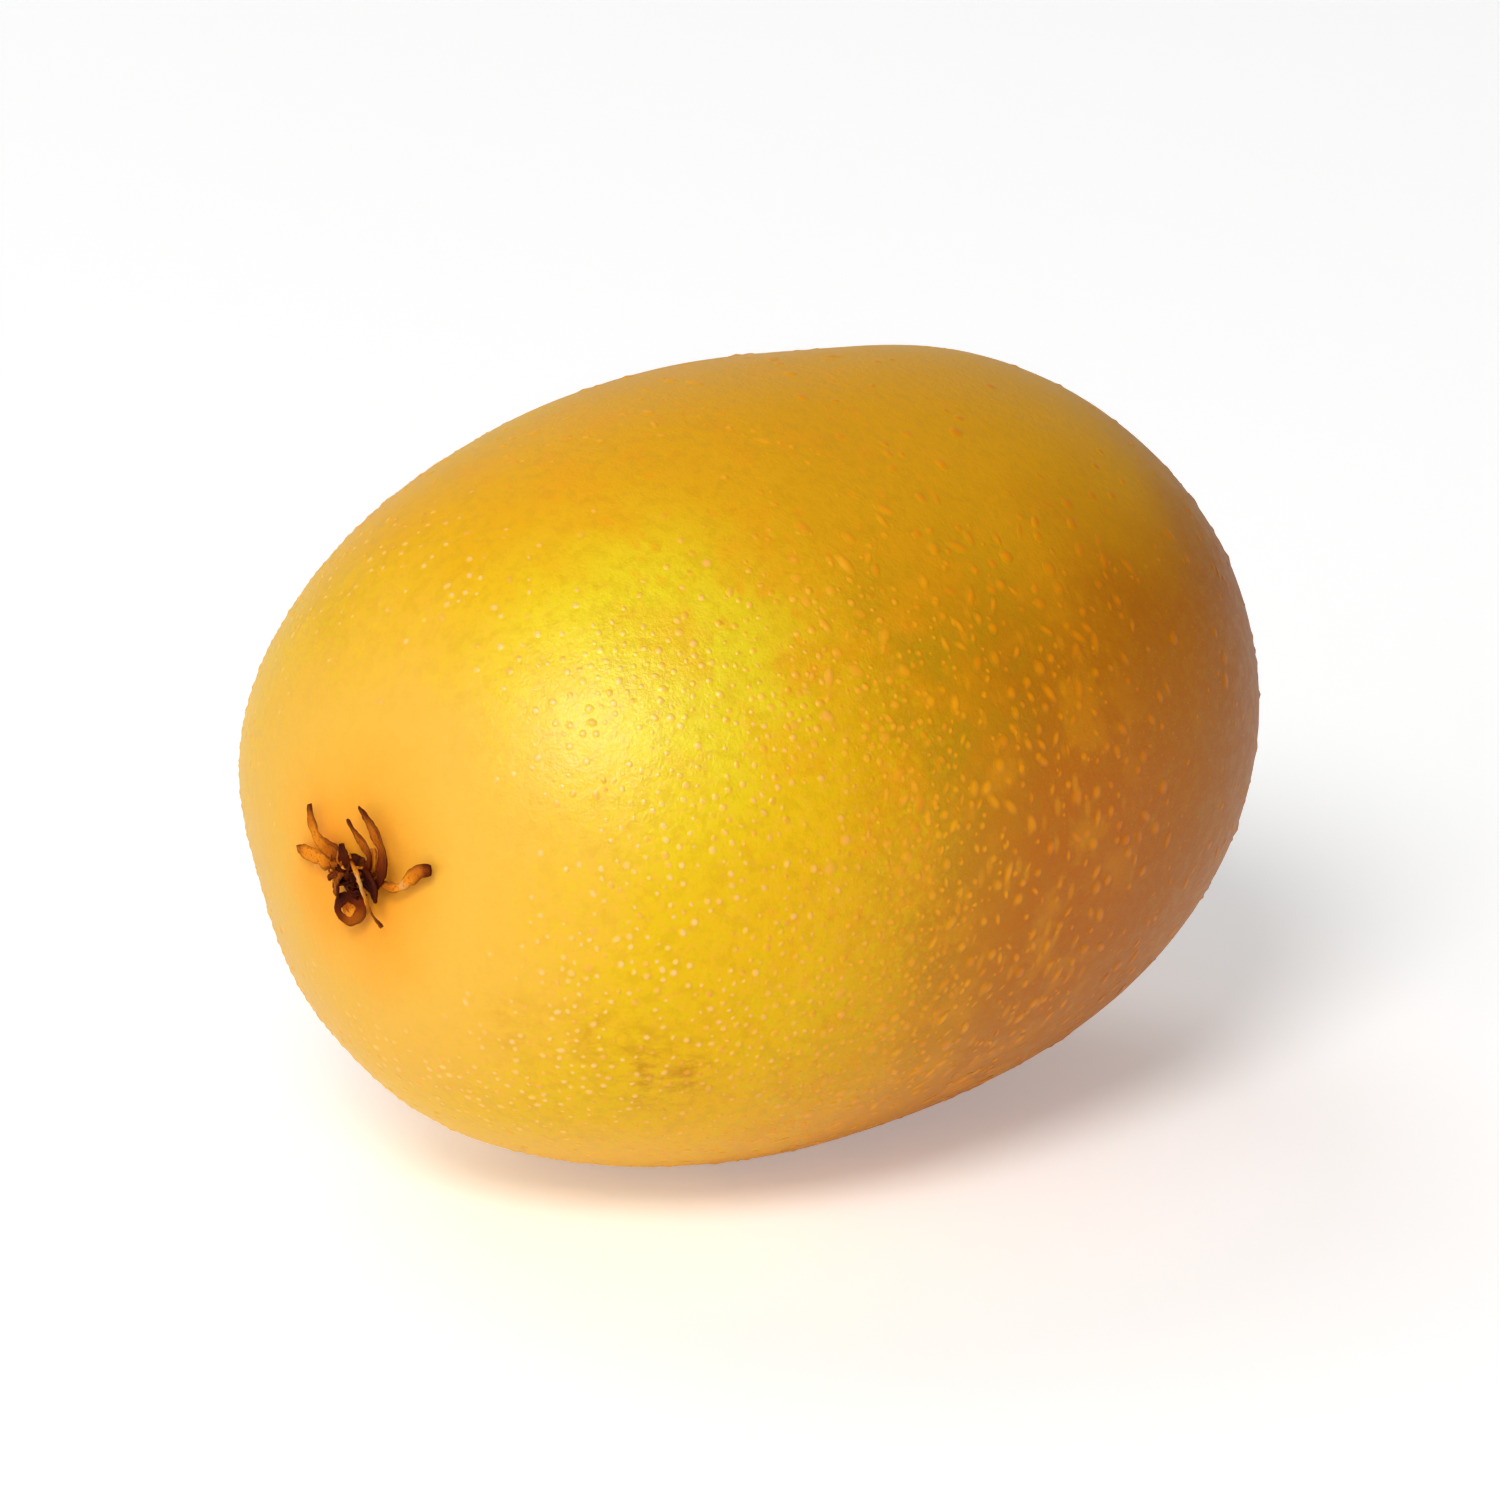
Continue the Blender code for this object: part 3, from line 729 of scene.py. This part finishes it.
def makeLenticelTree(values):
    tree, given = geometryTree("lenticels", values)

    m = partial(maths, tree)
    # Few near the tuft and towards the stem end, none on the resting spot, in loose clumps between
    place = addNode(tree, "GeometryNodeInputPosition").outputs[0]
    fromTuft = vectors(tree, "DISTANCE", place, given["bareMiddle"])
    along = m("SUBTRACT", split(tree, place)["X"], split(tree, given["middle"])["X"])
    amount = fade(tree, fromTuft, given["bareWithin"], given["fullFrom"], 0.03, 1.0)
    high = split(tree, place)["Z"]
    fadeIn = fade(tree, along, given["inFrom"], given["inTo"], given["before"], 1.0)
    fadeOut = fade(tree, along, given["outFrom"], given["outTo"], 1.0, given["beyond"])
    amount = m("MULTIPLY", m("MULTIPLY", amount, fadeIn), fadeOut)
    amount = m("MULTIPLY", amount, fade(tree, high, 0.0, given["restTo"]))
    amount = m("MULTIPLY", amount, fade(tree, high, given["restTo"], given["lowTo"], 0.35, 1.0))
    amount = m("MULTIPLY", amount, fade(tree, high, given["topFrom"], given["topThin"], 1.0, 0.12))
    clumps = grain(tree, place, given["clumpScale"], 2.0)
    amount = m("MULTIPLY", amount, fade(tree, clumps, 0.30, 0.56, 0.6, 1.0))
    spread = addNode(tree, "GeometryNodeDistributePointsOnFaces", {
        "Mesh": given["Geometry"], "Distance Min": given["spacing"], "Density Max": given["density"],
        "Density Factor": amount, "Seed": given["seed"],
    }, distribute_method="POISSON")

    # Mostly smaller ones, some larger, and some drawn out round the fruit
    size = m("POWER", drawn(tree, given["seed"], 1), 1.5)
    size = m("MULTIPLY_ADD", size, m("SUBTRACT", given["largest"], given["smallest"]), given["smallest"])
    stretch = m("MULTIPLY", m("POWER", drawn(tree, given["seed"], 2), 2.2), given["drawnOut"])
    stretch = m("MULTIPLY_ADD", stretch, m("SUBTRACT", given["longest"], 1.0), 1.0)
    height = m("MULTIPLY", size, given["steepness"])
    height = m("MULTIPLY", height, drawn(tree, given["seed"], 3, 0.75, 1.15))
    hoopwise = addNode(tree, "FunctionNodeAlignRotationToVector", {
        "Rotation": spread.outputs["Rotation"], "Vector": (1, 0, 0),
    }, axis="Y", pivot_axis="Z")
    spin = join(tree, 0.0, 0.0, drawn(tree, given["seed"], 4, -0.9, 0.9))
    facing = addNode(tree, "FunctionNodeRotateRotation", {
        "Rotation": hoopwise.outputs[0], "Rotate By": spin,
    }, rotation_space="LOCAL")
    placed = addNode(tree, "GeometryNodeInstanceOnPoints", {
        "Points": spread.outputs["Points"], "Instance": makeDome(tree), "Rotation": facing.outputs[0],
        "Scale": join(tree, m("MULTIPLY", size, stretch), m("DIVIDE", size, m("SQRT", stretch)), height),
    })
    tinted = addNode(tree, "GeometryNodeStoreNamedAttribute", {
        "Geometry": placed.outputs[0], "Name": "tint", "Value": drawn(tree, given["seed"], 5),
    }, domain="INSTANCE")
    down = join(tree, 0.0, 0.0, m("MULTIPLY", given["sunk"], -1.0))
    sunk = addNode(tree, "GeometryNodeTranslateInstances", {
        "Instances": tinted.outputs[0], "Translation": down, "Local Space": True,
    })
    real = addNode(tree, "GeometryNodeRealizeInstances", {"Geometry": sunk.outputs[0]})

    # Outlines are never quite round
    here = addNode(tree, "GeometryNodeInputPosition").outputs[0]
    values = {"Vector": here, "Scale": given["wobbleScale"], "Detail": 1.0}
    shove = addNode(tree, "ShaderNodeTexNoise", values).outputs["Color"]
    shove = vectors(tree, "SCALE", vectors(tree, "SUBTRACT", shove, (0.5, 0.5, 0.5)), given["wobble"])
    uneven = addNode(tree, "GeometryNodeSetPosition", {"Geometry": real.outputs[0], "Offset": shove})
    finishTree(tree, uneven.outputs[0], given["finish"])
    return tree


lenticelTree = makeLenticelTree({**smallLenticels, **sharedByBoth})
for name, values in (("kiwi_lenticels_small", smallLenticels), ("kiwi_lenticels", largeLenticels)):
    lenticels = grow(name, lenticelTree, {**values, **sharedByBoth}, kiwiSkin.data.copy())
    keepAsPiece(lenticels, None)


# Tuft: the dried styles of the flower, over a crusty pad

# Millimetres as seen from the front left: across, up, and lift off the skin
tuftView = {"turn": math.radians(46), "rise": math.radians(18)}

# Each long style as points of (across, up, lift, width, tone), tone running from near black to pale
longStyles = (
    (
        (-0.3, 0.2, 0.2, 0.80, 0.20), (-1.0, 1.2, 0.9, 0.90, 0.35), (-1.8, 1.7, 0.9, 0.85, 0.65),
        (-2.5, 2.5, 0.8, 0.62, 0.80), (-2.8, 3.5, 0.8, 0.50, 0.60), (-2.9, 4.4, 0.7, 0.56, 0.20),
    ),
    (
        (-0.3, 0.0, 0.2, 0.90, 0.20), (-1.2, 0.7, 0.8, 1.10, 0.50), (-2.1, 1.0, 0.8, 0.98, 0.80),
        (-3.0, 1.4, 0.7, 0.76, 0.85), (-3.7, 1.65, 0.6, 0.62, 0.50),
    ),
    (
        (0.4, -0.1, 0.2, 0.62, 0.08), (0.9, 0.9, 1.1, 0.56, 0.28), (0.65, 1.75, 1.2, 0.54, 0.48),
        (0.1, 2.5, 1.0, 0.50, 0.45), (-0.45, 3.4, 0.8, 0.46, 0.18),
    ),
    (
        (0.5, -0.7, 0.2, 0.70, 0.04), (1.4, -0.5, 1.0, 0.68, 0.08), (1.7, 0.4, 1.3, 0.66, 0.20),
        (1.7, 1.5, 1.3, 0.62, 0.42), (1.3, 2.5, 1.1, 0.60, 0.52), (0.8, 3.4, 0.9, 0.56, 0.42),
        (0.25, 4.2, 0.7, 0.52, 0.18),
    ),
    (
        (0.5, -0.3, 0.2, 0.60, 0.20), (1.5, -0.4, 0.9, 0.62, 0.50), (2.3, -0.7, 0.9, 0.74, 0.70),
        (2.9, -0.6, 0.7, 0.50, 0.95), (3.4, -0.15, 0.7, 0.74, 0.80), (4.0, 0.3, 0.7, 0.96, 0.60),
        (4.7, 0.4, 0.6, 0.86, 0.15),
    ),
    (
        (-0.3, 0.9, 1.0, 0.38, 0.55), (0.1, 0.2, 1.5, 0.44, 0.90), (0.45, -0.9, 1.4, 0.48, 0.94),
        (0.8, -1.9, 1.0, 0.46, 0.70), (1.2, -2.6, 0.8, 0.44, 0.45), (1.65, -3.15, 0.6, 0.40, 0.25),
    ),
    ((-0.1, 0.3, 0.3, 0.60, 0.05), (-0.6, 1.0, 1.4, 0.64, 0.14), (-0.85, 2.0, 1.5, 0.56, 0.06)),
    ((0.5, 0.3, 0.6, 0.70, 0.02), (1.0, -0.6, 1.3, 1.10, 0.0), (1.2, -1.5, 0.9, 0.70, 0.03)),
    ((-0.5, 0.5, 0.4, 0.62, 0.30), (-1.1, -0.1, 1.0, 0.68, 0.55), (-1.25, -1.2, 0.9, 0.64, 0.35)),
    ((0.8, -0.2, 0.3, 0.52, 0.30), (1.2, 0.8, 0.8, 0.58, 0.70), (1.1, 1.7, 0.8, 0.46, 0.75)),
)
# The cup near the knot is two rings, the inner one paler, both darkest at the left
curledStyle = {
    "middle": (-0.4, -2.0, 0.8), "points": 16, "width": 0.70,
    "radii": (0.74, 0.22), "tones": (0.28, 0.66), "toneSpread": 0.20, "darkest": 1.1,
}
shortStyles = {
    "count": 9, "reach": (0.9, 1.5), "lift": (0.8, 1.5), "width": 0.44,
    "tones": (0.02, 0.06, 0.12, 0.35), "seed": 5,
}
threads = {"count": 18, "reach": (1.0, 2.2), "lift": (0.5, 1.7), "width": (0.12, 0.22), "seed": 12}


# A point over the blossom end, from millimetres seen by one who faces the tuft
def aboveEnd(right, up, lift):
    shape = fruitShape
    share = math.hypot(right, up) * mm / shape["halfWidth"]
    u = (1 - share ** shape["blossomRoundness"]) ** (1 / shape["blossomFall"])
    return middle + Vector((-u * shape["blossomLength"] - lift * mm, -right * mm, up * mm))


# The point over the blossom end that shows at across and rise from the front left
def asSeen(across, rise, lift):
    proud = lift
    for _ in range(6):
        right = (across + math.cos(tuftView["turn"]) * proud) / math.sin(tuftView["turn"])
        nearer = math.sin(tuftView["turn"]) * proud + math.cos(tuftView["turn"]) * right
        up = (rise + math.sin(tuftView["rise"]) * nearer) / math.cos(tuftView["rise"])
        point = aboveEnd(right, up, lift)
        proud = (blossomEnd.x - point.x) / mm
    return point


# Points round the blossom end, each given as its turn, how far out, and its lift
def roundEnd(spots):
    return [aboveEnd(out * math.cos(turn), out * math.sin(turn), lift) for turn, out, lift in spots]


# Styles as (points, widths in millimetres, tones, closed)
def styleRoutes():
    routes = []
    for route in longStyles:
        points = [asSeen(across, up, lift) for across, up, lift, width, tone in route]
        routes.append((points, [spot[3] for spot in route], [spot[4] for spot in route], False))

    across, rise, lift = curledStyle["middle"]
    count = curledStyle["points"]
    turns = [math.tau * k / count for k in range(count)]
    for radius, tone in zip(curledStyle["radii"], curledStyle["tones"]):
        ring = [
            asSeen(across + radius * math.cos(turn), rise + radius * math.sin(turn), lift)
            for turn in turns
        ]
        spread, darkest = curledStyle["toneSpread"], curledStyle["darkest"]
        tones = [tone + spread * math.cos(turn + darkest) for turn in turns]
        routes.append((ring, [curledStyle["width"]] * count, tones, True))

    draw = random.Random(shortStyles["seed"])
    for k in range(shortStyles["count"]):
        turn = math.tau * k / shortStyles["count"] + draw.uniform(-0.25, 0.25)
        reach = draw.uniform(*shortStyles["reach"])
        lift = draw.uniform(*shortStyles["lift"])
        spots = ((turn, 0.35, 0.2), (turn, 0.7 * reach, 0.8 * lift), (turn + 0.5, reach, lift))
        route = roundEnd(spots)
        tone = draw.choice(shortStyles["tones"])
        routes.append((route, [shortStyles["width"]] * 3, [0.5 * tone, tone, 0.6 * tone], False))

    draw = random.Random(threads["seed"])
    for k in range(threads["count"]):
        turn = draw.uniform(0, math.tau)
        reach = draw.uniform(*threads["reach"])
        lift = draw.uniform(*threads["lift"])
        bend = draw.uniform(-0.9, 0.9)
        halfWay = (turn + 0.3 * bend, 0.6 * reach, lift)
        spots = ((turn, 0.5, 0.2), halfWay, (turn + bend, reach, 0.6 * lift))
        route = roundEnd(spots)
        routes.append((route, [draw.uniform(*threads["width"])] * 3, [draw.uniform(0.1, 0.9)] * 3, False))
    return routes


# A mesh of bare edges with what each style needs stored on its points
def styleGuides():
    mesh = bpy.data.meshes.new("styleGuides")
    points, edges, facts = [], [], []
    for route, widths, tones, closed in styleRoutes():
        first = len(points)
        last = first + len(route) - 1
        points += route
        edges += [(k, k + 1) for k in range(first, last)]
        if closed:
            edges.append((last, first))
        for k, (width, tone) in enumerate(zip(widths, tones)):
            along = 0.5 if closed else k / (len(route) - 1)
            facts.append((along, width * mm / 2, tone))
    mesh.from_pydata(points, edges, [])
    for name, values in zip(("along", "thickness", "tone"), zip(*facts)):
        mesh.attributes.new(name, "FLOAT", "POINT").data.foreach_set("value", values)
    return mesh


tuftShape = {
    "steps": 34, "profilePoints": 14, "flatness": 0.62, "groove": 0.5, "knotScale": 900.0,
    "twist": 2.0, "twistScale": 300.0, "gnarl": 0.22 * mm, "gnarlSize": 0.55 * mm,
}


def makeStyleTree(values):
    tree, given = geometryTree("driedStyles", values)

    m = partial(maths, tree)
    def stored(name):
        kind = "GeometryNodeInputNamedAttribute"
        return addNode(tree, kind, {"Name": name}, data_type="FLOAT").outputs[0]

    curves = addNode(tree, "GeometryNodeMeshToCurve", {"Mesh": given["Geometry"]})
    rounded = addNode(tree, "GeometryNodeCurveSplineType", {
        "Curve": curves.outputs[0],
    }, spline_type="CATMULL_ROM")
    fine = addNode(tree, "GeometryNodeResampleCurve", {
        "Curve": rounded.outputs[0], "Count": given["steps"],
    })

    # Thick at the root, thinner to the tip, with knots on the way
    here = addNode(tree, "GeometryNodeInputPosition").outputs[0]
    knots = fade(tree, grain(tree, here, given["knotScale"], 1.0), 0.3, 0.7, 0.80, 1.22)
    taper = fade(tree, stored("along"), 1.0, 0.95, 0.72, 1.0)
    radius = m("MULTIPLY", m("MULTIPLY", stored("thickness"), knots), taper)
    sized = addNode(tree, "GeometryNodeSetCurveRadius", {"Curve": fine.outputs[0], "Radius": radius})
    outward = vectors(tree, "SUBTRACT", here, given["middle"])
    tangent = addNode(tree, "GeometryNodeInputTangent").outputs[0]
    sideways = vectors(tree, "CROSS_PRODUCT", tangent, outward)
    flatOut = addNode(tree, "GeometryNodeSetCurveNormal", {
        "Curve": sized.outputs[0], "Normal": vectors(tree, "NORMALIZE", sideways),
    }, mode="FREE")
    twist = m("SUBTRACT", grain(tree, here, given["twistScale"], 0.0), 0.5)
    twist = m("MULTIPLY", twist, given["twist"])
    twisted = addNode(tree, "GeometryNodeSetCurveTilt", {"Curve": flatOut.outputs[0], "Tilt": twist})

    # A dried style is a flat strap with rolled edges
    circle = addNode(tree, "GeometryNodeCurvePrimitiveCircle", {
        "Resolution": given["profilePoints"], "Radius": 1.0,
    })
    spot = split(tree, addNode(tree, "GeometryNodeInputPosition").outputs[0])
    edge = m("ABSOLUTE", spot["X"])
    fromEdge = m("SUBTRACT", 1.0, m("MULTIPLY", edge, edge))
    hollow = m("SUBTRACT", 1.0, m("MULTIPLY", given["groove"], fromEdge))
    flat = m("MULTIPLY", m("MULTIPLY", spot["Y"], given["flatness"]), hollow)
    strap = addNode(tree, "GeometryNodeSetPosition", {
        "Geometry": circle.outputs["Curve"], "Position": join(tree, spot["X"], flat, 0.0),
    })
    strap = addNode(tree, "GeometryNodeStoreNamedAttribute", {
        "Geometry": strap.outputs[0], "Name": "edge", "Value": edge,
    })
    body = addNode(tree, "GeometryNodeCurveToMesh", {
        "Curve": twisted.outputs[0], "Profile Curve": strap.outputs[0],
        "Scale": radius, "Fill Caps": True,
    })

    shove = addNode(tree, "ShaderNodeTexNoise", {
        "Vector": addNode(tree, "GeometryNodeInputPosition").outputs[0],
        "Scale": m("DIVIDE", 1.0, given["gnarlSize"]), "Detail": 2.0,
    }).outputs["Color"]
    shove = vectors(tree, "SCALE", vectors(tree, "SUBTRACT", shove, (0.5, 0.5, 0.5)), given["gnarl"])
    gnarled = addNode(tree, "GeometryNodeSetPosition", {"Geometry": body.outputs[0], "Offset": shove})
    smooth = addNode(tree, "GeometryNodeSetShadeSmooth", {"Geometry": gnarled.outputs[0]})
    finishTree(tree, smooth.outputs[0], given["finish"])
    return tree


styleValues = {**tuftShape, "middle": middle, "finish": driedStyle}
styles = grow("tuft_styles", makeStyleTree(styleValues), styleValues, styleGuides())
keepAsPiece(styles, "dried_style_tuft")


# A disc built in rings round X, with its height given by a rule of how far out and which way
def ringDisc(name, centre, facing, radius, rings, sides, heightAt, attributes, material):
    bm = bmesh.new()
    layers = {label: bm.verts.layers.float.new(label) for label in attributes}

    def corner(share, turn):
        side = Vector((0, math.cos(turn) * share * radius, math.sin(turn) * share * radius))
        height, facts = heightAt(share, turn)
        vertex = bm.verts.new(centre + side + Vector((facing * height, 0, 0)))
        for label, value in facts.items():
            vertex[layers[label]] = value
        return vertex

    middleVertex = corner(0, 0)
    loops = [
        [corner(ring / rings, math.tau * k / sides) for k in range(sides)]
        for ring in range(1, rings + 1)
    ]
    foot = bm.verts.new(centre - Vector((facing * radius * 0.5, 0, 0)))
    for k in range(sides):
        following = (k + 1) % sides
        bm.faces.new((middleVertex, loops[0][k], loops[0][following]))
        bm.faces.new((foot, loops[-1][following], loops[-1][k]))
        for inner, outer in zip(loops, loops[1:]):
            bm.faces.new((inner[k], outer[k], outer[following], inner[following]))
    bmesh.ops.recalc_face_normals(bm, faces=bm.faces)
    mesh = bpy.data.meshes.new(name)
    bm.to_mesh(mesh)
    bm.free()
    mesh.materials.append(material)
    mesh.shade_smooth()
    piece = bpy.data.objects.new(name, mesh)
    collection.objects.link(piece)
    return piece


# The crusty pad that the styles grow from
padShape = {"radius": 1.7 * mm, "rise": 0.45 * mm, "rings": 26, "sides": 72}


def padHeight(share, turn):
    spot = Vector((share * math.cos(turn), share * math.sin(turn), 0.3))
    rough = noise.fractal(spot * 3.5, 0.8, 2.0, 4)
    dome = padShape["rise"] * (1 - share ** 2) - 0.25 * mm * share ** 4
    facts = {"tone": 0.1 + 0.2 * max(0, rough), "edge": 0.3, "along": 0.3}
    return dome + 0.14 * mm * rough * (1 - 0.5 * share), facts


pad = ringDisc(
    "tuft_pad", blossomEnd, -1, padShape["radius"], padShape["rings"], padShape["sides"],
    padHeight, ("tone", "edge", "along"), driedStyle,
)
keepAsPiece(pad, None)


# Stem scar: a round corky button with a worn rim, a pit and cracks
scarShape = {"radius": 2.95 * mm, "rise": 0.62 * mm, "rings": 44, "sides": 120, "cracks": 9}


def scarHeight(share, turn):
    spot = Vector((share * math.cos(turn), share * math.sin(turn), 0.7))
    rough = noise.fractal(spot * 3.0, 0.9, 2.1, 5)
    fine = noise.fractal(spot * 14.0, 0.8, 2.0, 3)
    rim = math.exp(-((share - 0.80) / 0.15) ** 2)
    pit = math.exp(-(share / 0.45) ** 2)
    ray = math.cos(scarShape["cracks"] * turn + 5 * noise.noise(spot * 1.6))
    crack = max(0.0, ray - 0.86) / 0.14 * (share > 0.28) * (share < 0.92)
    height = scarShape["rise"] * (0.52 + 0.40 * rim - 0.42 * pit) * (1 - share ** 10)
    height += -0.35 * mm * share ** 10 + 0.10 * mm * rough + 0.03 * mm * fine - 0.12 * mm * crack
    return height, {"pit": min(1.0, 0.75 * pit + 0.8 * crack)}


scar = ringDisc(
    "scar_cork", stemEnd, 1, scarShape["radius"], scarShape["rings"], scarShape["sides"],
    scarHeight, ("pit",), stemCork,
)
keepAsPiece(scar, "stem_scar")


# Floor and light

studio = {
    "floorSize": 6.0,
    "floorColour": (0.92, 0.92, 0.915),
    "floorRoughness": 0.9,
    "floorGloss": 0.1,
    "floorGlow": 0.17,
    "floorGlowSeen": 0.30,
    "keyTowards": (-0.64, -0.34, 0.69),
    "keyDistance": 1.5,
    "keySize": 0.60,
    "keyPower": 13.2,
    "glintTowards": (-0.62, -0.40, 0.65),
    "glintDistance": 1.5,
    "glintSize": 0.60,
    "glintPower": 62.0,
    "fillTowards": (-0.95, 0.05, 0.30),
    "fillDistance": 1.6,
    "fillSize": 1.2,
    "fillPower": 5.8,
    "backTowards": (0.15, 0.70, 0.70),
    "backDistance": 1.5,
    "backSize": 1.0,
    "backPower": 5.0,
    "surround": 0.25,
    "surroundRight": 0.09,
    "surroundSeen": 1.0,
}


# One strength for what the camera sees and another for the light that it casts
def seenOrCast(tree, seen, cast):
    share = addNode(tree, "ShaderNodeLightPath").outputs["Is Camera Ray"]
    values = {"Value": share, "To Min": cast, "To Max": seen}
    return addNode(tree, "ShaderNodeMapRange", values).outputs["Result"]


def makeFloor():
    half = studio["floorSize"] / 2
    corners = [(-half, -half, 0), (half, -half, 0), (half, half, 0), (-half, half, 0)]
    mesh = bpy.data.meshes.new("floor")
    mesh.from_pydata(corners, [], [(0, 1, 2, 3)])
    floor = bpy.data.objects.new("floor", mesh)
    collection.objects.link(floor)
    paper = bpy.data.materials.new("palePaper")
    paper.use_nodes = True
    shader = paper.node_tree.nodes["Principled BSDF"]
    shader.inputs["Base Color"].default_value = (*studio["floorColour"], 1)
    shader.inputs["Roughness"].default_value = studio["floorRoughness"]
    shader.inputs["Emission Color"].default_value = (1, 1, 1, 1)
    glow = seenOrCast(paper.node_tree, studio["floorGlowSeen"], studio["floorGlow"])
    plug(paper.node_tree, shader.inputs["Emission Strength"], glow)
    shader.inputs["Specular IOR Level"].default_value = studio["floorGloss"]
    mesh.materials.append(paper)


# A lamp either lights the surfaces or only shows as a glint in them
def makeLamp(name, towards, distance, size, power, glint=False):
    direction = Vector(towards).normalized()
    lamp = bpy.data.objects.new(name, bpy.data.lights.new(name, "AREA"))
    lamp.data.shape = "DISK"
    lamp.data.size = size
    lamp.data.energy = power
    lamp.location = middle + direction * distance
    lamp.rotation_euler = direction.to_track_quat("Z", "Y").to_euler()
    lamp.visible_glossy = glint
    lamp.visible_diffuse = not glint
    collection.objects.link(lamp)


# White all round for the camera, dimmer as a light and dimmest from the right
def makeSurround():
    world = bpy.data.worlds.new("surround")
    bpy.context.scene.world = world
    world.use_nodes = True
    tree = world.node_tree
    background = tree.nodes["Background"]
    background.inputs["Color"].default_value = (1, 1, 1, 1)
    towards = split(tree, addNode(tree, "ShaderNodeTexCoord").outputs["Generated"])
    rightward = maths(tree, "SUBTRACT", towards["X"], towards["Y"])
    cast = fade(tree, rightward, 0.4, 1.3, studio["surround"], studio["surroundRight"])
    plug(tree, background.inputs["Strength"], seenOrCast(tree, studio["surroundSeen"], cast))


makeFloor()
for name in ("key", "glint", "fill", "back"):
    facts = [studio[name + fact] for fact in ("Towards", "Distance", "Size", "Power")]
    makeLamp(name, *facts, name == "glint")
makeSurround()
bpy.context.scene.view_settings.view_transform = "Standard"
print("studio made")
